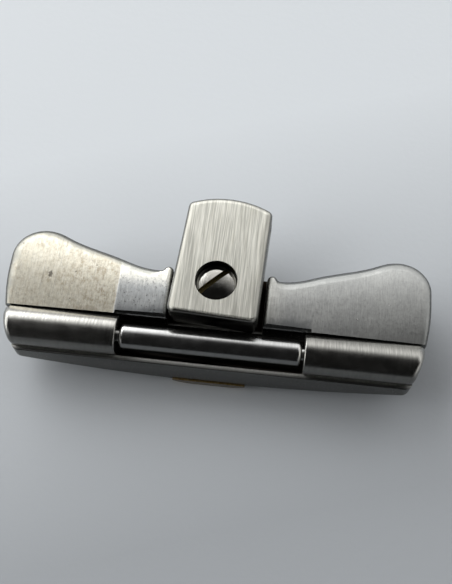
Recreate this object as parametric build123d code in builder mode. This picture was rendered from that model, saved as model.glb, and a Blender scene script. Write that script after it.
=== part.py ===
from build123d import *
import os
from math import atan2, cos, degrees, radians, sin, sqrt, tan

# End link of a watch bracelet, lying with its underside up.
# X runs along the spring bar, Y from the bar to the tip of the tongue and Z out of
# the underside. The origin is the middle of the bar's axis. Sizes are in millimetres.

# Spring bar: a tube closed in at both ends, two sprung tips and a coil between them
bar_dia = 1.5
bar_length = 10.7
bar_wall = 0.2
bar_end_wall = 0.3
bar_end_round = 0.28
tip_dia = 0.8
tip_reach = 0.95
tip_nose = 0.12
flange_length = 0.35
tail_dia = 0.42
tail_length = 0.6
spring_wire = 0.15
spring_turns = 18

# Clearances
slide_gap = 0.03
face_gap = 0.02
seat_gap = 0.02
bar_side_gap = 0.12
cut_over = 1.0

# Barrels: the two round bars that hold the ends of the spring bar
barrel_dia = 2.24
barrel_facet_angle = 48.0
barrel_end_round = 0.36
barrel_mouth_round = 0.08
barrel_ridge_round = 0.4
socket_spare = 0.25

# Body in plan, half of it: straight foot, curved end, side, round lobe, saddle, cusp
body_half = 12.65
foot_in = 1.05
lobe_rad = 1.9
lobe_north = 6.2
shoulder_in = 3.5
shoulder_north = 5.73
waist_out = 2.41
waist_north = 4.76
saddle_out = 0.5
saddle_north = 4.21
cusp_rise = 0.32
nose_rad = 0.3
side_start = 3.5

# Body in height
wing_height = 0.85
under_thick = 1.38
crown_rise = 1.2
lip_drop = 0.5
lip_land = 0.285
foot_lean = 0.27
wing_crown_rad = 14.0
wing_crown_turn = 9.0
wing_crown_start = 2.0
relief_drop = 0.5
relief_run = 0.75
relief_past = 0.3
wing_round = 0.29
lip_round = 0.06
outer_round = 0.2
foot_corner = 0.5
upright_share = 0.9

# Tongue
tongue_width = 5.3
tongue_tip_width = 5.15
tongue_length = 7.83
tongue_set_in = 0.06
tongue_thick = 1.9
tongue_rise = 0.75
tongue_skew = 2.8
tongue_side = 0.08
slot_side = 0.13
tongue_tip_rad = 5.8
tongue_corner = 0.4
tongue_edge_round = 0.24
slot_side_gap = 0.18
pin_bore_dia = 1.0
pin_bore_inset = 1.45

# Screw
screw_inset = 2.27
head_dia = 2.3
head_rim = 0.5
head_dome = 0.13
head_side_gap = 0.1
head_bore_depth = 1.0
shank_dia = 1.6
shank_spare = 0.2
drive_width = 0.32
drive_depth = 0.42
drive_offset = 0.2
drive_angle = 44.5

# Centre cap on the outer face
cap_width = 4.4
cap_proud = 0.44
cap_sink = 0.25
cap_north_inset = 0.25
cap_south_proud = 0.05
cap_flat = 2.2
cap_shoulder = 0.35
cap_end_round = 0.15
boss_wall = 0.38
boss_drop = 0.05

# Places that follow from the sizes above
bar_rad = bar_dia / 2
tip_rad = tip_dia / 2
barrel_rad = barrel_dia / 2
barrel_face = bar_length / 2 + bar_side_gap
seat_rad = barrel_rad + seat_gap
wall_y = seat_rad
lip_z = -lip_drop
lip_in = sqrt(seat_rad**2 - lip_drop**2)
lip_y = -(lip_in + lip_land)
foot_y = lip_y - foot_lean
outer_z = -(seat_rad + under_thick)
foot_slope = foot_lean / (lip_z - outer_z)
body_top = wing_height
foot_top_y = foot_y + foot_slope * (body_top - outer_z)
tongue_top = wing_height + tongue_rise
tongue_seat = tongue_top - tongue_thick
tongue_south = wall_y + tongue_set_in
screw_y = tongue_south + screw_inset
slot_half = tongue_width / 2 + slot_side_gap
cusp_north = saddle_north + cusp_rise
relief_north = wall_y + relief_run
nose_x = slot_half + nose_rad
nose_y = cusp_north - nose_rad
saddle_half = nose_x + saddle_out
waist_half = saddle_half + waist_out
shoulder_half = body_half - shoulder_in
foot_half = body_half - foot_in
bore_rad = bar_rad - bar_wall
bore_half = bar_length / 2 - bar_end_wall
# The nose beside the slot meets the hollow that climbs to it from the saddle
hollow_x = saddle_half - nose_x
hollow_y = nose_y - saddle_north
hollow_rad = (hollow_x**2 + hollow_y**2 - nose_rad**2) / (2 * cusp_rise)
nose_angle = degrees(atan2(hollow_rad - hollow_y, hollow_x))
cap_bottom = outer_z - cap_proud
cap_seat = outer_z + cap_sink
shank_rad = shank_dia / 2
thread_rad = shank_rad + slide_gap
boss_rad = thread_rad + boss_wall
head_rad = head_dia / 2
head_bore_rad = head_rad + head_side_gap
head_floor = tongue_top - head_bore_depth
relief_half = barrel_face + relief_past
tip_inner = bore_half - face_gap
flange_inner = tip_inner - flange_length
flange_rad = bore_rad - slide_gap
tip_outer = bar_length / 2 + tip_reach
hole_rad = tip_rad + slide_gap
socket_end = tip_outer + socket_spare
coil_rad = bore_rad - slide_gap - spring_wire / 2
coil_half = flange_inner - face_gap - spring_wire / 2
cap_south = foot_y - cap_south_proud
cap_north = cusp_north - cap_north_inset

os.makedirs("parts", exist_ok=True)


def save(piece, name):
    piece.label = name
    export_step(piece, f"parts/{name}.step")


def crown_sag(reach):
    """How far the crowned top has fallen at a distance from its ridge."""
    return wing_crown_rad - sqrt(wing_crown_rad**2 - reach**2)


# Outline of the body in plan, shared by the body and the ends of the barrels
with BuildSketch(Plane.XY.offset(outer_z)) as plan:
    with BuildLine():
        for side in (1, -1):
            foot = Line((0, foot_y), (side * foot_half, foot_y))
            flank = Line((side * body_half, side_start), (side * body_half, lobe_north - lobe_rad))
            TangentArc(flank @ 0, foot @ 1, tangent=(0, -1))
            lobe_top = (side * (body_half - lobe_rad), lobe_north)
            TangentArc(flank @ 1, lobe_top, tangent=(0, 1))
            back = Spline(
                lobe_top,
                (side * shoulder_half, shoulder_north),
                (side * waist_half, waist_north),
                (side * saddle_half + slot_side, saddle_north),
                tangents=[(-side, 0), (-side, 0)],
            )
            nose_centre = (side * nose_x + slot_side, nose_y)
            nose = CenterArc(nose_centre, nose_rad, 90, side * (nose_angle - 90))
            TangentArc(back @ 1, nose @ 1, tangent=(-side, 0))
            Line(nose @ 0, (slot_side, cusp_north))
    make_face()

# Space above the crowned top of the right wing, whose ridge runs along the wing's middle
turn = radians(wing_crown_turn)
ridge_frame = Plane(
    origin=(0, wing_crown_start, body_top),
    x_dir=(-sin(turn), cos(turn), 0),
    z_dir=(cos(turn), sin(turn), 0),
)
crown_reach = lobe_north - foot_y
with BuildPart() as over_wing:
    with BuildSketch(ridge_frame):
        with BuildLine():
            crown_low = -crown_sag(crown_reach)
            ridge_arc = ThreePointArc((-crown_reach, crown_low), (0, 0), (crown_reach, crown_low))
            Polyline(
                ridge_arc @ 1,
                (crown_reach, cut_over),
                (-crown_reach, cut_over),
                ridge_arc @ 0,
            )
        make_face()
    extrude(amount=body_half + lobe_north)

# Body: wings, web under the tongue, channel for the bar and the front rail
with BuildPart() as link_body:
    extrude(plan.sketch, amount=body_top - outer_z)

    # The outer face is crowned along the bar
    with BuildSketch(Plane.XZ):
        with BuildLine():
            crown = ThreePointArc(
                (-body_half, outer_z + crown_rise),
                (0, outer_z),
                (body_half, outer_z + crown_rise),
            )
            Polyline(
                crown @ 1,
                (body_half, body_top),
                (-body_half, body_top),
                crown @ 0,
            )
        make_face()
    extrude(amount=body_half, both=True, mode=Mode.INTERSECT)

    # The foot of the front rail leans out
    with BuildSketch(Plane.YZ):
        with BuildLine():
            Polyline((foot_y, outer_z), (foot_y, body_top), (foot_top_y, body_top), close=True)
        make_face()
    extrude(amount=body_half, both=True, mode=Mode.SUBTRACT)
    foot_corners = link_body.edges().filter_by(
        lambda edge: edge.center().Y < lip_y + foot_lean and abs((edge % 0.5).Z) > upright_share
    )
    fillet(foot_corners, foot_corner)
    fillet(link_body.faces().sort_by(Axis.Z)[0].edges(), outer_round)

    # Both wings are crowned, each along its own middle
    add(over_wing.part, mode=Mode.SUBTRACT)
    mirror(over_wing.part, about=Plane.YZ, mode=Mode.SUBTRACT)

    # Slot for the tongue, with round noses at its mouth, and the rims of both wings
    with BuildSketch(Plane((slot_side, 0, tongue_seat))):
        with BuildLine():
            slot_south = foot_y - cut_over
            slot_north = cusp_north + cut_over
            slot_wall = Line((slot_half, slot_south), (slot_half, nose_y))
            slot_nose = CenterArc((nose_x, nose_y), nose_rad, 180, -90)
            Polyline(slot_nose @ 1, (nose_x, slot_north), (0, slot_north))
            Line((0, slot_south), slot_wall @ 0)
            mirror(about=Plane.YZ)
        make_face()
    extrude(amount=body_top - tongue_seat, mode=Mode.SUBTRACT)
    wing_tops = link_body.faces().sort_by(Axis.Z)[-2:]
    fillet(wing_tops.edges(), wing_round)

    # Round-bottomed channel for the barrels and the bar, open towards the south over
    # the rail's lip, which is rounded on both sides
    with BuildSketch(Plane.YZ) as channel:
        with BuildLine():
            seat = ThreePointArc((-lip_in, lip_z), (0, -seat_rad), (seat_rad, 0))
            lip_edge = TangentArc(
                (lip_y - foot_slope * lip_round, lip_z - lip_round),
                (lip_y + lip_round, lip_z),
                tangent=(foot_slope, 1),
            )
            Polyline(
                seat @ 1,
                (wall_y, body_top + cut_over),
                (foot_y - cut_over, body_top + cut_over),
                (foot_y - cut_over, lip_z - lip_round),
                lip_edge @ 0,
            )
            Line(lip_edge @ 1, seat @ 0)
        make_face()
        fillet(channel.vertices().sort_by_distance((-lip_in, lip_z))[0], lip_round)
    extrude(amount=body_half, both=True, mode=Mode.SUBTRACT)

    # Between the barrels the wings' edge is rounded off further, for the next link
    with BuildSketch(Plane.YZ):
        with BuildLine():
            relief_z = body_top - crown_sag(wing_crown_start - relief_north)
            relief = TangentArc(
                (wall_y, relief_z - relief_drop), (relief_north, relief_z), tangent=(0, 1)
            )
            relief_over = body_top + cut_over
            Polyline(relief @ 1, (relief_north, relief_over), (wall_y, relief_over), relief @ 0)
        make_face()
    extrude(amount=relief_half, both=True, mode=Mode.SUBTRACT)

    # Pocket for the cap, open at the foot, and the hole for its threaded boss
    with BuildSketch(Plane.XY.offset(cap_seat)):
        pocket_south = foot_y - cut_over
        with Locations((0, (pocket_south + cap_north + seat_gap) / 2)):
            Rectangle(cap_width + 2 * seat_gap, cap_north + seat_gap - pocket_south)
    extrude(amount=-(cap_sink + cut_over), mode=Mode.SUBTRACT)
    with BuildSketch(Plane.XY.offset(cap_seat)):
        with Locations((0, screw_y)):
            Circle(boss_rad + seat_gap)
    extrude(amount=tongue_seat - cap_seat, mode=Mode.SUBTRACT)

save(link_body.part, "link_body")

# Barrels: round bars with a flat facet that runs down to a ridge by the wing,
# cut to the body's plan and drilled for the tip of the spring bar
with BuildPart() as right_barrel:
    with BuildSketch(Plane.YZ.offset(barrel_face)) as barrel_section:
        with BuildLine():
            ridge_z = barrel_rad * tan(radians(barrel_facet_angle / 2))
            hull = CenterArc((0, 0), barrel_rad, barrel_facet_angle, 360 - barrel_facet_angle)
            Polyline(hull @ 1, (barrel_rad, ridge_z), hull @ 0)
        make_face()
        ridge = barrel_section.vertices().group_by(Axis.X)[-1].sort_by(Axis.Y)[-1]
        fillet(ridge, barrel_ridge_round)
    extrude(amount=body_half - barrel_face)
    extrude(plan.sketch, amount=barrel_rad - outer_z, mode=Mode.INTERSECT)
    fillet(right_barrel.faces().sort_by(Axis.X)[-1].edges(), barrel_end_round)
    fillet(right_barrel.faces().sort_by(Axis.X)[0].edges(), barrel_mouth_round)
    with BuildSketch(Plane.YZ.offset(barrel_face)):
        Circle(hole_rad)
    extrude(amount=socket_end - barrel_face, mode=Mode.SUBTRACT)

save(right_barrel.part, "right_barrel")

with BuildPart() as left_barrel:
    mirror(right_barrel.part, about=Plane.YZ)

save(left_barrel.part, "left_barrel")

# Tongue: a plate in the slot, turned a little and sitting a hair to one side
skew = radians(tongue_skew)
tongue_frame = Plane(
    origin=(tongue_side, screw_y, tongue_seat),
    x_dir=(cos(skew), -sin(skew), 0),
    z_dir=(0, 0, 1),
)
tongue_low = -screw_inset
tongue_high = tongue_length - screw_inset
tip_half = tongue_tip_width / 2
corner_y = tongue_high - (tongue_tip_rad - sqrt(tongue_tip_rad**2 - tip_half**2))
with BuildPart() as centre_tongue:
    with BuildSketch(tongue_frame) as tongue_outline:
        with BuildLine():
            Polyline(
                (-tip_half, corner_y),
                (-tongue_width / 2, tongue_low),
                (tongue_width / 2, tongue_low),
                (tip_half, corner_y),
            )
            ThreePointArc((tip_half, corner_y), (0, tongue_high), (-tip_half, corner_y))
        make_face()
        fillet(tongue_outline.vertices(), tongue_corner)
    extrude(amount=tongue_thick)
    rim = centre_tongue.faces().sort_by(Axis.Z)[-1].edges()
    fillet(rim, tongue_edge_round)

    # Counterbored hole for the screw
    with Locations((0, screw_y, tongue_top)):
        CounterBoreHole(
            radius=thread_rad,
            counter_bore_radius=head_bore_rad,
            counter_bore_depth=head_bore_depth,
        )

    # Cross bore near the tip, for the pin of what the tongue joins
    bore_centre = tongue_frame.from_local_coords((0, tongue_high - pin_bore_inset, tongue_thick / 2))
    with BuildSketch(Plane(origin=bore_centre, z_dir=tongue_frame.x_dir)):
        Circle(pin_bore_dia / 2)
    extrude(amount=(tongue_width + tongue_tip_width) / 2, both=True, mode=Mode.SUBTRACT)

save(centre_tongue.part, "centre_tongue")

# Screw: low domed head with a straight slot beside its middle, plain shank for its thread
head_under = head_floor + face_gap
rim_z = head_under + head_rim
dome_z = rim_z + head_dome
shank_low = cap_seat + shank_spare
dome_rad = (head_rad**2 + head_dome**2) / (2 * head_dome)
dome_side = head_rad / 2
dome_side_z = dome_z - dome_rad + sqrt(dome_rad**2 - dome_side**2)
with BuildPart() as tongue_screw:
    with BuildSketch(Plane.XZ.offset(-screw_y)):
        with BuildLine():
            Polyline(
                (0, dome_z),
                (0, shank_low),
                (shank_rad, shank_low),
                (shank_rad, head_under),
                (head_rad, head_under),
                (head_rad, rim_z),
            )
            ThreePointArc((head_rad, rim_z), (dome_side, dome_side_z), (0, dome_z))
        make_face()
    revolve(axis=Axis((0, screw_y, 0), (0, 0, 1)))
    with BuildSketch(Plane.XY.offset(dome_z - drive_depth)):
        with Locations(Location((0, screw_y, 0), (0, 0, drive_angle))):
            with Locations((0, drive_offset)):
                Rectangle(head_dia + cut_over, drive_width)
    extrude(amount=drive_depth + cut_over, mode=Mode.SUBTRACT)

save(tongue_screw.part, "tongue_screw")

# Cap on the outer face, with the threaded boss that the screw draws up
with BuildPart() as centre_cap:
    with BuildSketch(Plane.XZ.offset(-cap_north)):
        with BuildLine():
            shoulder = TangentArc(
                (cap_flat / 2, cap_bottom),
                (cap_width / 2, cap_bottom + cap_shoulder),
                tangent=(1, 0),
            )
            Polyline(shoulder @ 1, (cap_width / 2, cap_seat), (0, cap_seat))
            Line((0, cap_bottom), shoulder @ 0)
            mirror(about=Plane.YZ)
        make_face()
    extrude(amount=cap_north - cap_south)
    ends = centre_cap.faces().filter_by(Axis.Y)
    ends_low = ends.edges().filter_by(lambda edge: edge.center().Z < cap_seat - cap_sink)
    fillet(ends_low, cap_end_round)
    with BuildSketch(Plane.XY.offset(cap_seat)):
        with Locations((0, screw_y)):
            Circle(boss_rad)
            Circle(thread_rad, mode=Mode.SUBTRACT)
    extrude(amount=tongue_seat - boss_drop - cap_seat)

save(centre_cap.part, "centre_cap")

# Spring bar tube: both ends rounded and closed in round the tips
with BuildPart() as bar_tube:
    with BuildSketch(Plane.YZ):
        Circle(bar_rad)
    extrude(amount=bar_length / 2, both=True)
    fillet(bar_tube.edges().filter_by(GeomType.CIRCLE), bar_end_round)
    with BuildSketch(Plane.YZ):
        Circle(bore_rad)
    extrude(amount=bore_half, both=True, mode=Mode.SUBTRACT)
    with BuildSketch(Plane.YZ):
        Circle(hole_rad)
    extrude(amount=bar_length / 2, both=True, mode=Mode.SUBTRACT)

save(bar_tube.part, "bar_tube")

# Tips: a neck that stands in the barrel, a flange held inside the tube and a tail
# inside the coil
with BuildPart() as right_tip:
    with BuildSketch(Plane.XY):
        with BuildLine():
            Polyline(
                (flange_inner - tail_length, 0),
                (flange_inner - tail_length, tail_dia / 2),
                (flange_inner, tail_dia / 2),
                (flange_inner, flange_rad),
                (tip_inner, flange_rad),
                (tip_inner, tip_rad),
                (tip_outer - tip_nose, tip_rad),
                (tip_outer, tip_rad - tip_nose),
                (tip_outer, 0),
                close=True,
            )
        make_face()
    revolve(axis=Axis.X)

save(right_tip.part, "right_tip")

with BuildPart() as left_tip:
    mirror(right_tip.part, about=Plane.YZ)

save(left_tip.part, "left_tip")

# Coil spring between the two flanges
with BuildPart() as bar_spring:
    with BuildLine() as coil:
        Helix(
            pitch=2 * coil_half / spring_turns,
            height=2 * coil_half,
            radius=coil_rad,
            center=(-coil_half, 0, 0),
            direction=(1, 0, 0),
        )
    with BuildSketch(Plane(origin=coil.line @ 0, z_dir=coil.line % 0)):
        Circle(spring_wire / 2)
    sweep(path=coil.line, is_frenet=True)

save(bar_spring.part, "bar_spring")
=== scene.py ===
# %% [markdown]
# # The looks of a watch bracelet's end link
#
# The link lies on its outer face, so its underside looks up: two worn satin wings, a
# brushed tongue held by a polished screw, and a spring bar between two round barrels.
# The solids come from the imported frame, in metres. They already have the link's true
# edges and rounds, so no piece is modelled here. This script gives every surface its
# finish, and sets the table, the light and the camera.
#
# X runs along the spring bar, Y to the tip of the tongue and Z up. The camera stands on
# the bar's side of the link. In this text that side is south, and the tongue points
# north.

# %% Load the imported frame
from math import cos, radians, sin
from types import SimpleNamespace

import bpy
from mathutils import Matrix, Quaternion, Vector


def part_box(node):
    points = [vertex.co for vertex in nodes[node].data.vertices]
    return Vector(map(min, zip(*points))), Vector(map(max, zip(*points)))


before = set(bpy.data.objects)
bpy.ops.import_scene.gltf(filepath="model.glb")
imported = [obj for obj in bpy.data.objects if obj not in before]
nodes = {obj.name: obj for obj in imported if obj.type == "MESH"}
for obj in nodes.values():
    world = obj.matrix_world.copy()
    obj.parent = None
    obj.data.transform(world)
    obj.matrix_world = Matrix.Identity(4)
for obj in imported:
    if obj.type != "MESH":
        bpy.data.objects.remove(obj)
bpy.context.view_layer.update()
print("nodes in the frame:", sorted(nodes))

# %% [markdown]
# ## Units
#
# Sizes are easier to think about in millimetres here, while Blender works in metres.
# One named value turns the one into the other.

# %% Units
MM = 0.001


def mm(*sizes):
    """Millimetres to a vector in metres."""
    return Vector([size * MM for size in sizes])


print("one millimetre is", MM, "of Blender's units")

# %% [markdown]
# ## The camera
#
# The photograph was taken from close by, 45 mm from the link, and high up. Such a near
# camera makes the left side of the link look larger than the right one. A far camera
# with a longer lens would be simpler to aim, but the link's outline would never agree
# with the photograph. The place and the point it looks at were solved from the bar, the
# barrels and the screw. A camera looks along its own -Z, so that axis is laid along the
# line of sight, and the camera is then rolled a little round it.

# %% Place the camera
camera_place = mm(3.372, -13.978, 40.928)
camera_aim = mm(0.547, 3.455, 0)
camera_roll = radians(-2.93)
camera_lens = 45.65

bpy.ops.object.camera_add(location=camera_place)
camera = bpy.context.object
camera.rotation_mode = "QUATERNION"
line_of_sight = camera_aim - camera_place
camera.rotation_quaternion = line_of_sight.to_track_quat("-Z", "Y") @ Quaternion(
    (0, 0, 1), camera_roll
)
camera.data.lens = camera_lens
camera.data.clip_start = 1 * MM
bpy.context.scene.camera = camera
print("camera distance, mm:", round(line_of_sight.length / MM, 1))

# %% [markdown]
# ## Colours and nodes
#
# Colours are written as hex values, as a paint chart gives them, and one function turns
# them to the linear numbers that Blender's sockets hold. A second small function adds
# any shader node, with its settings and what goes into its sockets, so that a material
# reads as a list of what it is made of.

# %% Two helpers for colours and nodes
def linear(hex_colour):
    """A hex colour such as #C8CDD4, as linear red, green, blue and alpha."""
    parts = [int(hex_colour[place:place + 2], 16) / 255 for place in (1, 3, 5)]
    return [c / 12.92 if c <= 0.04045 else ((c + 0.055) / 1.055) ** 2.4 for c in parts] + [1]


def add(tree, kind, sockets=None, **settings):
    """Adds a node; sockets maps an input's name or number to a value or to an output."""
    made = tree.nodes.new(kind)
    for name, value in settings.items():
        setattr(made, name, value)
    for name, value in (sockets or {}).items():
        if isinstance(value, bpy.types.NodeSocket):
            tree.links.new(value, made.inputs[name])
        else:
            made.inputs[name].default_value = value
    return made


print("pale grey in linear numbers:", [round(c, 3) for c in linear("#C8CDD4")])

# %% [markdown]
# ## Zones with soft borders
#
# Windows, dirt and wear all have soft borders, so both the light and the finishes are
# built from zones. A zone has one value inside and another outside, and crosses over
# smoothly. It can have several borders, each following something of its own, such as a
# coordinate or a grain. Painted masks could do this too, but they would need pictures
# and unwrapped solids, while a zone needs only numbers in millimetres.

# %% Zones
def zone(tree, inside, *borders, outside=0.0):
    """A value that is inside past all borders, and outside before any of them.

    A border is the value that it follows, where it begins and where it is complete.
    """
    for follows, begins, complete in borders:
        inside = add(tree, "ShaderNodeMapRange", {
            "Value": follows, "From Min": begins, "From Max": complete,
            "To Min": outside, "To Max": inside,
        }, interpolation_type="SMOOTHSTEP").outputs[0]
    return inside


print("a zone without borders is the same everywhere:", zone(None, 1.0))

# %% [markdown]
# ## The room
#
# The photograph was taken in daylight, in a room that is dark behind the camera. Metal
# shows that room: what mirrors a window is bright, and what mirrors the ceiling or the
# camera's side is nearly black. Lamps would show as small hard spots in the bar and the
# barrels, so the world itself is the room. Its parts are zones of the sky, found by two
# directions: how high a line of sight points, and where on the horizon.

# %% Directions in the room
world = bpy.data.worlds.new("room with a window")
world.use_nodes = True
room = world.node_tree
room.nodes.clear()
look = add(room, "ShaderNodeTexCoord").outputs["Generated"]
# The sine of the angle above the table
height = add(room, "ShaderNodeSeparateXYZ", {0: look}).outputs[2]


def towards(turn):
    """How far a line of sight faces a point of the horizon, turned west from north."""
    return add(room, "ShaderNodeVectorMath", {0: look, 1: (-sin(turn), cos(turn), 0)},
               operation="DOT_PRODUCT").outputs["Value"]


print("the room's nodes so far:", [node.name for node in room.nodes])

# %% [markdown]
# ## The window, the curtains and the walls
#
# Pale curtains hang to the north, and a brighter window is to the west. Both fade out
# towards the ceiling. Together they light a level white card nearly as white. Two dim
# walls stand low to the left and right of the camera. The photograph's view hardly
# mirrors them, but they keep the link readable from behind.

# %% Bright parts of the room
curtain_turn = radians(-12)
curtain_low, curtain_high = 0.95, 1.55
window_turn = radians(66)
window_strength = 3.4
wall_turns = (radians(118), radians(-118))
wall_strength = 0.9
room_dark = 0.01

below_ceiling = (height, 0.98, 0.64)
above_sill = (height, 0.03, 0.42)
curtain_tone = zone(room, curtain_high, (height, 0.0, 0.6), outside=curtain_low)
bright_parts = [
    zone(room, curtain_tone, (towards(curtain_turn), 0.1, 0.4), below_ceiling),
    zone(room, window_strength, (towards(window_turn), 0.46, 0.62), above_sill, below_ceiling),
    *[zone(room, wall_strength, (towards(turn), 0.74, 0.92)) for turn in wall_turns],
]
light = room_dark
for part in bright_parts:
    light = add(room, "ShaderNodeMath", {0: light, 1: part}).outputs[0]
print("bright parts of the room:", len(bright_parts))

# %% [markdown]
# ## What the camera itself sees
#
# Above the table's far edge the camera would see the room's bright and dark parts, which
# say nothing about the link. A plain pale wall stands there for the camera alone. The
# colours are shown as they are, without a film look.

# %% Finish the world
backdrop_tone = 0.6

seen = add(room, "ShaderNodeLightPath").outputs["Is Camera Ray"]
strength = add(room, "ShaderNodeMix", {0: seen, 2: light, 3: backdrop_tone}).outputs[0]
sky = add(room, "ShaderNodeBackground", {"Color": linear("#FFFFFF"), "Strength": strength})
add(room, "ShaderNodeOutputWorld", {"Surface": sky.outputs[0]})
bpy.context.scene.world = world
bpy.context.scene.view_settings.view_transform = "Standard"
print("the world is", world.name)

# %% [markdown] ## The table  The link lies on its centre cap on a pale table top. The
# table is one large plane at the height of the cap's lowest point, so large that its
# edge is far behind the link.

# %% Make the table
table_size = 1600 * MM
table_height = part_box("centre_cap")[0].z
bpy.ops.mesh.primitive_plane_add(size=table_size, location=(0, 0, table_height))
table = bpy.context.object
table.name = "table_top"
print("table at z, mm:", round(table_height / MM, 2))

# %% [markdown]
# ## Pebbled laminate
#
# The table top is laminate, pressed against a finely pebbled plate. To the eye that
# gives a dull surface with a faint grain and no mirror image. Pebbles could be modelled,
# but at a hundredth of a millimetre high a bump shows them just as well. They are about
# half a millimetre wide, as on real laminate. The table's colour is painted paler on the
# far side and darker on the near one: a painted falloff of the light, with more shade
# on the camera's side.

# %% Pebbled laminate
# The colour below is painted light: paler far away, darker towards the camera
painted_light_towards = Vector((-0.32, 0.947, 0))
painted_darkest_at, painted_palest_at = -10.0, 17.0
pebbles_per_mm = 2.2
pebble_height = 0.012
laminate_roughness = 0.6

laminate = bpy.data.materials.new("pebbled_laminate")
laminate.use_nodes = True
tree = laminate.node_tree
shader = tree.nodes["Principled BSDF"]
spot = add(tree, "ShaderNodeTexCoord").outputs["Object"]
along = add(tree, "ShaderNodeVectorMath", {0: spot, 1: painted_light_towards / MM},
            operation="DOT_PRODUCT").outputs["Value"]
far = add(tree, "ShaderNodeMapRange", {
    "Value": along, "From Min": painted_darkest_at, "From Max": painted_palest_at})
tone = add(tree, "ShaderNodeMix", {
    0: far.outputs[0], 6: linear("#A0A4A8"), 7: linear("#D8DDE1")}, data_type="RGBA")
pebble = add(tree, "ShaderNodeTexNoise", {
    "Vector": spot, "Scale": pebbles_per_mm / MM, "Detail": 3.0})
pebbled = add(tree, "ShaderNodeBump", {
    "Height": pebble.outputs[0], "Strength": 1.0, "Distance": pebble_height * MM})
tree.links.new(tone.outputs[2], shader.inputs["Base Color"])
tree.links.new(pebbled.outputs[0], shader.inputs["Normal"])
shader.inputs["Roughness"].default_value = laminate_roughness
table.data.materials.append(laminate)
print("table's finish:", laminate.name)

# %% [markdown]
# ## What a metal finish starts from
#
# Every metal here has metallic 1 and the default IOR, and reads the object's own
# coordinates in millimetres. A pattern then has its real size and turns with its piece.
#
# Rubbed metal has thousands of grooves, too fine to draw. They spread the light across
# themselves, like a fan, and that is why satin steel looks bright although the window
# isn't where its mirror image would be. The fan is the shader's own anisotropy, round
# the object's Y axis, which makes it open along X. A rough surface without it would look
# flat and dark.

# %% Start a metal
def start_metal(name, fan=0.0):
    """A new metal material: itself, its tree, its shader and the place in millimetres."""
    material = bpy.data.materials.new(name)
    material.use_nodes = True
    tree = material.node_tree
    shader = tree.nodes["Principled BSDF"]
    shader.inputs["Metallic"].default_value = 1.0
    if fan:
        shader.inputs["Anisotropic"].default_value = fan
        round_y = add(tree, "ShaderNodeTangent", direction_type="RADIAL", axis="Y")
        tree.links.new(round_y.outputs[0], shader.inputs["Tangent"])
    place = add(tree, "ShaderNodeTexCoord").outputs["Object"]
    place_mm = add(tree, "ShaderNodeVectorMath", {0: place, "Scale": 1 / MM}, operation="SCALE")
    return material, tree, shader, place_mm.outputs[0]


print("metals start from the Principled shader")

# %% [markdown]
# ## Reading the surface
#
# Three helpers tell a finish about the place that it is on. A grain is noise stretched
# along the way the metal was rubbed. A distance from some middle finds a knock or a
# patch. The way the surface faces tells a top from a wall.

# %% Read the surface
def grain(tree, place, size, detail, roughness=0.6):
    """Noise from 0 to 1 whose grains have the given size along X, Y and Z, in mm."""
    fitted = add(tree, "ShaderNodeMapping", {"Vector": place, "Scale": [1 / s for s in size]})
    return add(tree, "ShaderNodeTexNoise", {
        "Vector": fitted.outputs[0], "Scale": 1.0, "Detail": detail,
        "Roughness": roughness}).outputs[0]


def far_from(tree, place, middle, size):
    """How far a place is from a middle, measured in the given sizes along X, Y and Z."""
    offset = add(tree, "ShaderNodeVectorMath", {0: place, 1: middle}, operation="SUBTRACT")
    fitted = add(tree, "ShaderNodeVectorMath", {0: offset.outputs[0], 1: size}, operation="DIVIDE")
    return add(tree, "ShaderNodeVectorMath", {0: fitted.outputs[0]},
               operation="LENGTH").outputs["Value"]


def facing(tree):
    """Which way the surface faces, as numbers along X, Y and Z."""
    normal = add(tree, "ShaderNodeTexCoord").outputs["Normal"]
    return add(tree, "ShaderNodeSeparateXYZ", {0: normal}).outputs[:3]


print("helpers that read the surface:", [h.__name__ for h in (grain, far_from, facing)])

# %% [markdown]
# ## Laying a finish
#
# A finish is laid in coats, as a painter would do it: bare metal first, then each coat
# with how strongly it covers. One image of the whole surface could hold the same, but
# coats can be changed one by one. Roughness is a sum of a few parts, and bumps are
# stacked on one another, each with its real depth.

# %% Lay a finish
def lay_finish(tree, shader, bare, coats, roughness, bumps):
    """Lays coats over the bare metal, sums up the roughness and stacks the bumps.

    A coat is its cover, from 0 to 1, and its colour. A bump is its height, from 0 to 1,
    and its depth in mm, which is negative for a hollow.
    """
    metal = linear(bare)
    for cover, colour in coats:
        over = linear(colour) if isinstance(colour, str) else colour
        metal = add(tree, "ShaderNodeMix", {0: cover, 6: metal, 7: over},
                    data_type="RGBA").outputs[2]
    tree.links.new(metal, shader.inputs["Base Color"])

    rough = 0.0
    for part in roughness:
        rough = add(tree, "ShaderNodeMath", {0: rough, 1: part}).outputs[0]
    tree.links.new(rough, shader.inputs["Roughness"])

    below = {}
    for bump_height, depth in bumps:
        lifted = add(tree, "ShaderNodeBump", {
            "Height": bump_height, "Strength": 1.0, "Distance": depth * MM, **below})
        below = {"Normal": lifted.outputs[0]}
    tree.links.new(below["Normal"], shader.inputs["Normal"])


print("a finish is laid as coats, roughness and bumps")
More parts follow.
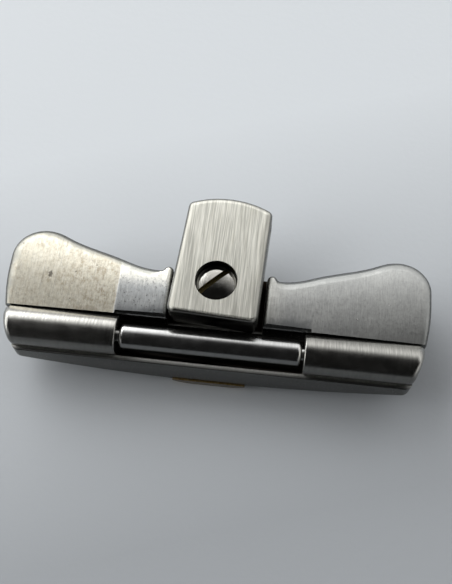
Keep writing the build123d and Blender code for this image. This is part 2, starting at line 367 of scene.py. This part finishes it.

# %% [markdown]
# ## The body: grains
#
# The body is stainless steel, cast or forged, then satined on a fine abrasive belt that
# ran along Y, and worn for years on a wrist. To the eye the wings are a soft, silky grey
# with fine lines and no sharp mirror image. The cells from here on make that finish, one
# kind of wear or painted shade at a time, and first come the grains that they share.
#
# A pixel of the photograph covers 0.06 mm of the link. Real belt lines, scratches and
# specks are a few hundredths of a millimetre wide, which is too fine to show, so they
# are drawn about a tenth of a millimetre wide.

# %% Grains of the body
satin_fan = 0.9
body, body_tree, body_shader, body_place = start_metal("satin_stainless_steel", satin_fan)
x, y, z = add(body_tree, "ShaderNodeSeparateXYZ", {0: body_place}).outputs[:3]
at = SimpleNamespace(
    x=x, y=y, z=z,
    side=add(body_tree, "ShaderNodeMath", {0: x}, operation="ABSOLUTE").outputs[0],
    face_up=facing(body_tree)[2],
    # Short lines that the belt left
    belt=grain(body_tree, body_place, (0.07, 0.6, 0.5), 3.0),
    # A few longer ones, from wear
    scratch=grain(body_tree, body_place, (0.07, 2.2, 0.5), 2.0),
    # Fine specks
    speck=grain(body_tree, body_place, (0.11, 0.16, 0.13), 4.0, 0.75),
    # Crumbly patches, for the mottling
    blotch=grain(body_tree, body_place, (0.3, 0.36, 0.36), 5.0, 0.8),
    # Broad changes of tone
    cloud=grain(body_tree, body_place, (1.6, 1.1, 1.6), 3.0),
)
coats = [(zone(body_tree, 1.0, (at.cloud, 0.3, 0.7)), "#BEBEB9")]
print("the body reads:", sorted(vars(at)))

# %% [markdown]
# ## The body: the left wing
#
# On the left wing's outer zone skin salts left the steel warmer, with a fine brown
# mottling that is thickest beside the crease. East of the crease the wing is smoother,
# because the next link rubs there. Its far half is painted pale and its near half a
# cooler grey: a painted reflection of the window's edge.
#
# Zones with straight borders would look like tape, so a helper lets a grain push a
# border to and fro.

# %% The left wing's zones
crease_x = -5.83
rubbed_end_x = -2.5
on_wing_top = (at.z, -0.2, 0.3)


def ragged(value, unevenness, amount):
    """A value moved up and down by a grain, so that a border that follows it is uneven."""
    shift = zone(body_tree, amount, (unevenness, 0.3, 0.7), outside=-amount)
    return add(body_tree, "ShaderNodeMath", {0: value, 1: shift}).outputs[0]


outer_zone = ((at.x, crease_x + 0.23, crease_x - 0.17), on_wing_top)
rubbed_zone = (
    (at.x, crease_x - 0.03, crease_x + 0.03), (at.x, rubbed_end_x, rubbed_end_x - 0.1),
    on_wing_top)
# Painted reflection: the rubbed zone's far half is painted pale, its near half grey
painted_reflection_near_half = zone(body_tree, 1.0, (ragged(at.y, at.speck, 0.2), 3.9, 2.8))
print("rubbed zone from x, mm:", crease_x, "to", rubbed_end_x)

# %% The left wing's coats
mottling_middle, mottling_size = (-7.0, 2.4, 0.7), (3.2, 1.6, 3.2)

from_thickest = far_from(body_tree, body_place, mottling_middle, mottling_size)
thickness = add(body_tree, "ShaderNodeMath", {
    0: zone(body_tree, 0.7, (at.cloud, 0.3, 0.7), outside=0.3),
    1: zone(body_tree, 0.3, (from_thickest, 1.4, 0.1)),
}).outputs[0]
rubbed_zone_painted_reflection = add(body_tree, "ShaderNodeMix", {
    0: painted_reflection_near_half, 6: linear("#ECEAE0"), 7: linear("#B2B5B6")}, data_type="RGBA").outputs[2]
coats += [
    (zone(body_tree, 0.7, *outer_zone), "#D6D0BC"),
    (zone(body_tree, thickness, (at.blotch, 0.38, 0.66), *outer_zone), "#94866F"),
    (zone(body_tree, 0.9, *rubbed_zone), rubbed_zone_painted_reflection),
]
print("coats so far:", len(coats))

# %% [markdown]
# ## The body: belt lines
#
# A belt leaves bright ridges and dark grooves side by side. Both are laid over the whole
# body, with dull specks and a few longer scratches. They could be a bump alone, but the
# colour carries them into views where no light grazes the surface.

# %% Belt lines and scratches
line_coats = [
    (at.belt, 0.45, 0.7, 0.35, "#DADAD5"),
    (at.belt, 0.5, 0.3, 0.3, "#8C8C88"),
    (at.speck, 0.5, 0.32, 0.4, "#84827C"),
    (at.scratch, 0.4, 0.25, 0.4, "#7C7C78"),
]
for follows, begins, complete, cover, colour in line_coats:
    coats.append((zone(body_tree, cover, (follows, begins, complete)), colour))
print("coats so far:", len(coats))

# %% [markdown]
# ## The body: how far a place is inside the lobes
#
# The rims are rounded by a bump and painted greyer as painted shade, so the finish needs
# to know how far away they are. Each wing ends in a round lobe, whose rim is an arc, and
# the length from the arc's middle tells the distance from it. Beside the arc the rim
# goes on straight, along X and along Y, so only the part of that length that is past
# the arc's middle is counted.

# %% Distance from the lobes' rims
lobe_x, lobe_y, lobe_radius = 10.75, 4.3, 1.9

past_middle = []
for value, middle in ((at.side, lobe_x), (at.y, lobe_y)):
    past = add(body_tree, "ShaderNodeMath", {0: value, 1: middle}, operation="SUBTRACT")
    past_middle.append(add(body_tree, "ShaderNodeMath", {0: past.outputs[0], 1: 0.0},
                           operation="MAXIMUM").outputs[0])
from_middle = add(body_tree, "ShaderNodeCombineXYZ", {0: past_middle[0], 1: past_middle[1]})
reach = add(body_tree, "ShaderNodeVectorMath", {0: from_middle.outputs[0]},
            operation="LENGTH").outputs["Value"]
in_lobe = add(body_tree, "ShaderNodeMath", {0: lobe_radius, 1: reach},
              operation="SUBTRACT").outputs[0]
print("the lobes' rims have a radius of mm:", lobe_radius)

# %% [markdown]
# ## The body: how far a place is inside the saddles
#
# From the lobe to the slot each wing's edge is a hollow line, the saddle. It follows no
# simple sum, so it is set point by point on a curve, from X across the wing to Y at its
# edge. The curve's own numbers run from 0 to 1, so X and Y are divided to fit.

# %% Distance from the saddles' rims
curve_x, curve_y = 20, 10
saddle_ends = ((0.0, 6.0), (20.0, 6.2))
saddle_points = (
    (3.3, 5.2), (3.6, 4.35), (4.05, 4.215), (5.0, 4.4), (6.5, 4.89), (7.7, 5.22), (9.0, 5.66),
    (9.7, 5.98), (10.2, 6.14), (10.75, 6.2))
# The line is slanted, so its true distance is a little less than the one along Y
saddle_slant = 0.94

across = add(body_tree, "ShaderNodeMath", {0: at.side, 1: 1 / curve_x}, operation="MULTIPLY")
saddle = add(body_tree, "ShaderNodeFloatCurve", {"Value": across.outputs[0]})
line = saddle.mapping.curves[0]
for point, (point_x, point_y) in zip(line.points, saddle_ends):
    point.location = (point_x / curve_x, point_y / curve_y)
for point_x, point_y in saddle_points:
    line.points.new(point_x / curve_x, point_y / curve_y)
saddle.mapping.update()
edge_y = add(body_tree, "ShaderNodeMath", {0: saddle.outputs[0], 1: curve_y},
             operation="MULTIPLY").outputs[0]
along_y = add(body_tree, "ShaderNodeMath", {0: edge_y, 1: at.y}, operation="SUBTRACT")
in_saddle = add(body_tree, "ShaderNodeMath", {0: along_y.outputs[0], 1: saddle_slant},
                operation="MULTIPLY").outputs[0]
rim = add(body_tree, "ShaderNodeMath", {0: in_lobe, 1: in_saddle},
          operation="MINIMUM").outputs[0]
print("points on the saddle's line:", len(line.points))

# %% [markdown]
# ## The body: rims, walls and the near edge, with painted shade
#
# Years in a pocket and on a wrist rounded the rims gradually. The solid has the rounding
# itself. Its gradual start is a bump of 0.16 mm here, because a larger round would break
# the thin noses beside the slot. The rims are painted greyer than the tops: painted
# shade where the rounding turns away from the window.
#
# The right wing is painted duller than the left: painted shade, as the light falls from
# the west. The walls and the rail are painted darkest: painted shade where they turn from
# the window. Over the channel's middle the wings' near edge rolls down, and there it is
# painted dark: a painted reflection of the dark side of the room.

# %% Painted shade on rims, walls and the near edge
# Rims painted greyer than the tops: painted shade
painted_rim_shade_border = (ragged(rim, at.cloud, 0.1), 0.65, 0.25)
# The right wing painted duller: painted shade
right_wing_painted_shade = ((at.x, 3.0, 4.5), on_wing_top)
# Walls and the rail painted darkest: painted shade
painted_shade_walls_and_rail = add(body_tree, "ShaderNodeMath", {
    0: zone(body_tree, 0.85, (at.face_up, 0.97, 0.75)),
    1: zone(body_tree, 0.95, (at.y, -1.05, -1.25)),
}, operation="MAXIMUM").outputs[0]
# Painted dark reflection on the wings' near edge, only between the barrels
near_edge_painted_reflection = (
    (ragged(at.y, at.cloud, 0.15), 2.1, 1.25), (at.side, 5.85, 5.6), on_wing_top)
coats += [
    (zone(body_tree, 0.8, painted_rim_shade_border), "#83847F"),
    (zone(body_tree, 0.5, *right_wing_painted_shade), "#8B8D8E"),
    (painted_shade_walls_and_rail, "#5F5F5D"),
    (zone(body_tree, 0.65, *near_edge_painted_reflection), "#56595C"),
]
print("coats so far:", len(coats))

# %% [markdown]
# ## The body: knocks, dirt and painted shade in the recesses
#
# A knock left one gouge on the left wing, half a millimetre long, and smaller ones left
# pits. Old skin oil and dust collected where no cloth reaches: on the slot's floor and
# walls and along the bottom of the channel. There the coat is nearly black and dull:
# partly that dirt, and partly painted shade for the recesses.

# %% Knocks and dirt
gouge_middle, gouge_size = (-9.99, 3.16, 0.7), (0.15, 0.27, 1.0)

from_gouge = far_from(body_tree, body_place, gouge_middle, gouge_size)
pit_grain = grain(body_tree, body_place, (0.2, 0.26, 0.3), 1.0)
marks = add(body_tree, "ShaderNodeMath", {
    0: zone(body_tree, 1.0, (pit_grain, 0.76, 0.82), on_wing_top, (at.side, 5.9, 6.1)),
    1: zone(body_tree, 1.0, (ragged(from_gouge, at.speck, 0.3), 1.0, 0.6)),
}, operation="MAXIMUM").outputs[0]
# Each is as wide, as deep and as long as the place itself
in_slot = ((at.side, 3.0, 2.9), (at.z, 0.4, -0.1), (at.y, 1.1, 1.3))
in_channel = ((at.side, 5.7, 5.5), (at.z, -0.42, -0.6), (at.y, -1.12, -1.0), (at.y, 1.4, 1.2))
# Nearly black in the slot and the channel: partly dirt, partly painted shade
dirt_and_painted_shade = add(body_tree, "ShaderNodeMath", {
    0: zone(body_tree, 1.0, *in_slot),
    1: zone(body_tree, 0.85, *in_channel),
}, operation="MAXIMUM").outputs[0]
dark_marks = add(body_tree, "ShaderNodeMath", {0: marks, 1: 0.8}, operation="MULTIPLY")
coats += [(dark_marks.outputs[0], "#4E4943"), (dirt_and_painted_shade, "#2A211B")]
print("coats so far:", len(coats))

# %% [markdown]
# ## The body: all together
#
# Rims are smoother than the tops of the wings, the rubbed zone a little, and dirt is
# rougher. The bumps are the belt lines, specks, marks, the crease and the rims' gradual
# start. The crease is a step of about a hundredth of a millimetre, too low to be worth
# an edge in the solid.

# %% Lay the body's finish
rim_roughness, top_roughness = 0.24, 0.34
crease_width = 0.18

body_roughness = [
    zone(body_tree, 0.04, (at.speck, 0.3, 0.7), outside=-0.03),
    zone(body_tree, top_roughness, (at.face_up, 0.8, 0.97), outside=rim_roughness),
    zone(body_tree, -0.04, *rubbed_zone),
    add(body_tree, "ShaderNodeMath", {0: dirt_and_painted_shade, 1: 0.3}, operation="MULTIPLY").outputs[0],
]
crease = (at.x, crease_x - crease_width / 2, crease_x + crease_width / 2)
body_bumps = [
    (at.belt, 0.004),
    (at.speck, 0.0025),
    (marks, -0.03),
    (zone(body_tree, 1.0, crease), 0.012),
    (zone(body_tree, 1.0, (rim, -0.3, 0.6), on_wing_top), 0.16),
]
lay_finish(body_tree, body_shader, "#ACACA8", coats, body_roughness, body_bumps)
print("the body has", len(coats), "coats and", len(body_bumps), "bumps")

# %% [markdown]
# ## Turned steel
#
# The barrels, the tube and the tips are round stainless steel, turned on a lathe or
# rubbed with fine paper while they spin. To the eye that gives a bright line along the
# top whose sides are ragged by fine rings, and a dark flank below it. The rings are
# grain that is narrow along X and long across, a tenth of a millimetre wide, which is
# coarser than real ones. The side that faces the camera, away from the wings, is
# painted darker: painted shade. The hidden spring's drawn wire gets the same finish in
# a darker grey.

# %% Turned steel
def turned_steel(name, dark, light, roughness, ring_mm, depth_mm):
    """Steel with fine rings round X."""
    material, tree, shader, place = start_metal(name)
    rings = grain(tree, place, (ring_mm, 1.0, 1.0), 2.0)
    haze = grain(tree, place, (0.9, 0.5, 0.5), 2.0)
    face_north = facing(tree)[1]
    lay_finish(tree, shader, dark, [
        (zone(tree, 1.0, (rings, 0.35, 0.7)), light),
        # The side facing away from the wings painted darker: painted shade
        (zone(tree, 0.65, (face_north, -0.5, -0.9)), "#565654"),
    ], [
        zone(tree, roughness + 0.03, (haze, 0.3, 0.7), outside=roughness - 0.02),
    ], [(rings, depth_mm)])
    return material


# Turned and lightly rubbed: a greyish shine with a ragged edge
barrel = turned_steel("turned_stainless_steel", "#8F8E8A", "#A2A19C", 0.24, 0.09, 0.0006)
# Drawn tube, rubbed finer: the brightest and straightest line
tube = turned_steel("drawn_stainless_steel", "#B0B0AF", "#BCBCBB", 0.22, 0.09, 0.0005)
# Left as the lathe's tool cut them: pale, with the clearest rings
tip = turned_steel("tool_cut_stainless_steel", "#B5B5B3", "#CBCBC9", 0.24, 0.1, 0.001)
# Drawn through a die and never rubbed: a dull grey
wire = turned_steel("drawn_spring_wire", "#8A8A8A", "#A2A2A2", 0.3, 0.1, 0.001)
print("round finishes:", [metal.name for metal in (barrel, tube, tip, wire)])

# %% [markdown]
# ## The tongue's rims
#
# The tongue's rims are rounded by a bump and painted greyer as painted shade, so its
# finish needs their distance. They are two straight sides and a curved end. The tongue
# lies turned in its slot by a few degrees and a little off the middle, so a place is
# turned back first, and then simple subtractions tell how far inside it is.

# %% Distance from the tongue's rims
tongue_turn = 2.8
tongue_off_middle = 0.08
tongue_half_width = 2.6
tongue_end_radius, tongue_end_middle = 5.8, 3.23


def tongue_rim_distance(tree, place):
    """How far inside the tongue's two sides and its curved end a place is, in mm."""
    turned = add(tree, "ShaderNodeMapping", {
        "Vector": place, "Location": (tongue_off_middle, 0, 0),
        "Rotation": (0, 0, radians(tongue_turn)), "Scale": (1, 1, 0)}).outputs[0]
    across = add(tree, "ShaderNodeSeparateXYZ", {0: turned}).outputs[0]
    off_middle = add(tree, "ShaderNodeMath", {0: across}, operation="ABSOLUTE").outputs[0]
    in_sides = add(tree, "ShaderNodeMath", {0: tongue_half_width, 1: off_middle},
                   operation="SUBTRACT").outputs[0]
    reach = add(tree, "ShaderNodeVectorMath", {0: turned, 1: (0, tongue_end_middle, 0)},
                operation="DISTANCE").outputs["Value"]
    in_end = add(tree, "ShaderNodeMath", {0: tongue_end_radius, 1: reach},
                 operation="SUBTRACT").outputs[0]
    return add(tree, "ShaderNodeMath", {0: in_sides, 1: in_end}, operation="MINIMUM").outputs[0]


print("the tongue is turned by degrees:", tongue_turn)

# %% [markdown]
# ## Brushed steel
#
# The tongue is stainless steel drawn over a flat abrasive along its length. Its fine
# straight lines spread the light sideways, which makes a flat face look soft and
# slightly silky. Its rims are rounded gradually by a bump and, as the wings' rims, are
# painted greyer: painted shade. Its walls are painted darker too, as painted shade. The
# lines are drawn a tenth of a millimetre wide or less, which is still coarser than real
# ones.

# %% Brushed steel
def brushed_steel(name, dark, light, painted_shade_end_tone, line_mm, rim_distance=None):
    """Lines along Y; given the rims' distance, also round rims and painted shade on rims and
    walls.
    """
    material, tree, shader, place = start_metal(name, satin_fan)
    lines = grain(tree, place, (line_mm, 2.4, line_mm), 3.0)
    streaks = grain(tree, place, (0.16, 2.4, 0.16), 2.0)
    nicks = grain(tree, place, (0.2, 0.2, 0.2), 2.0)
    _, face_north, face_up = facing(tree)
    coats = [
        (zone(tree, 1.0, (lines, 0.32, 0.68)), light),
        (zone(tree, 0.25, (streaks, 0.45, 0.75)), "#A9A594"),
        (zone(tree, 0.6, (nicks, 0.74, 0.8)), "#6E675A"),
    ]
    bumps = [(lines, 0.002), (zone(tree, 1.0, (nicks, 0.72, 0.8)), -0.008)]
    if rim_distance:
        inside_rim = rim_distance(tree, place)
        coats += [
            # Rims painted greyer: painted shade
            (zone(tree, 0.7, (inside_rim, 0.4, 0.1)), "#7C7B75"),
            # Walls painted darker: painted shade
            (zone(tree, 0.85, (face_up, 0.97, 0.75)), "#70706D"),
        ]
        bumps.append((zone(tree, 1.0, (inside_rim, -0.2, 0.4)), 0.09))
    # The south-facing end painted dark: painted shade
    coats.append((zone(tree, 0.8, (face_north, -0.8, -0.95)), painted_shade_end_tone))
    lay_finish(tree, shader, dark, coats, [
        zone(tree, top_roughness, (face_up, 0.8, 0.97), outside=rim_roughness),
        zone(tree, 0.02, (lines, 0.3, 0.7), outside=-0.02),
    ], bumps)
    return material


# Its south-facing end, under the wings, is painted dark: painted shade
tongue = brushed_steel("brushed_stainless_steel", "#A6A59D", "#D4D3CA", "#3C3B39", 0.06,
                       tongue_rim_distance)
print("tongue's finish:", tongue.name)

# %% [markdown]
# ## Gold-plated steel
#
# The cap is brushed steel with a thin plating of gold. Plating follows the lines below
# it, so it is the same finish in warm tones, and its near side is painted grey: painted
# shade.
# Little of it shows: a sliver below the rail, and a warm tone on the table beside it.

# %% Gold-plated steel
cap = brushed_steel("gold_plated_steel", "#AD8F58", "#C6AA72", "#6E6D69", 0.12)
print("cap's finish:", cap.name)

# %% [markdown]
# ## Where the screw's slot is
#
# The screw's middle and the height of its rim come from the frame, and the slot's turn,
# width and offset repeat the solid's own. The slot was cut a little beside the middle of
# the head, so its own middle is worked out from there.

# %% Where the screw's slot is
slot_turn = radians(44.5)
slot_half_width = 0.16
slot_offset = 0.2

screw_low, screw_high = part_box("tongue_screw")
screw_middle = (screw_low + screw_high) / 2 / MM
slot_middle = Vector((
    screw_middle.x - slot_offset * sin(slot_turn),
    screw_middle.y + slot_offset * cos(slot_turn),
    screw_high.z / MM,
))
print("slot's middle, mm:", [round(part, 2) for part in slot_middle])

# %% [markdown]
# ## Polished steel
#
# The screw's head is stainless steel, turned and polished bright. To the eye it is a
# small mirror: one half shows the bright part of the room and the other the dark one,
# with faint arcs from the lathe. The arcs are 0.11 mm apart, coarser than real ones.
#
# The slot still holds a brown line of old dirt, which shows only below the rim. The mask
# therefore keeps to low places near the slot's middle line.

# %% Polished steel
arcs_per_mm = 9.0
# Height hardly counts, so that the arcs stay round columns through the head
arc_middle, arc_size = (0, slot_middle.y, 0), (1, 1, 100)
dirt_top, dirt_bottom = -0.11, -0.21

polished, tree, shader, place = start_metal("polished_stainless_steel")
haze = grain(tree, place, (0.3, 0.3, 0.3), 3.0)
turns = add(tree, "ShaderNodeMath", {
    0: far_from(tree, place, arc_middle, arc_size), 1: arcs_per_mm}, operation="MULTIPLY")
arcs = add(tree, "ShaderNodeTexNoise", {"W": turns.outputs[0], "Scale": 1.0, "Detail": 2.0},
           noise_dimensions="1D").outputs[0]
from_slot = add(tree, "ShaderNodeVectorMath", {0: place, 1: slot_middle}, operation="SUBTRACT")
turned = add(tree, "ShaderNodeMapping", {
    "Vector": from_slot.outputs[0], "Rotation": (0, 0, -slot_turn)})
_, across_slot, above_rim = add(tree, "ShaderNodeSeparateXYZ", {0: turned.outputs[0]}).outputs
from_line = add(tree, "ShaderNodeMath", {0: across_slot}, operation="ABSOLUTE").outputs[0]
down_in_slot = ((from_line, slot_half_width + 0.02, slot_half_width),
                (above_rim, dirt_top, dirt_bottom))
lay_finish(tree, shader, "#BFBDB6", [
    (zone(tree, 1.0, (haze, 0.4, 0.7)), "#D2D0CA"),
    (zone(tree, 1.0, *down_in_slot), "#6E6444"),
], [
    zone(tree, 0.09, (haze, 0.35, 0.7), outside=0.04),
    zone(tree, 0.5, *down_in_slot),
], [(arcs, 0.002)])
print("screw's finish:", polished.name)

# %% [markdown]
# ## Dress the solids
#
# Each solid gets its finish. A finish reads the solid's own coordinates, so the solids
# need no unwrapping, and the finish moves with them when the bar spins or the screw
# turns.

# %% Dress the solids
finishes = {
    "link_body": body,
    "left_barrel": barrel,
    "right_barrel": barrel,
    "centre_tongue": tongue,
    "tongue_screw": polished,
    "centre_cap": cap,
    "bar_tube": tube,
    "left_tip": tip,
    "right_tip": tip,
    "bar_spring": wire,
}
for name, finish in finishes.items():
    nodes[name].data.materials.clear()
    nodes[name].data.materials.append(finish)
    print(name, "gets", finish.name)

# %% [markdown] ## The end
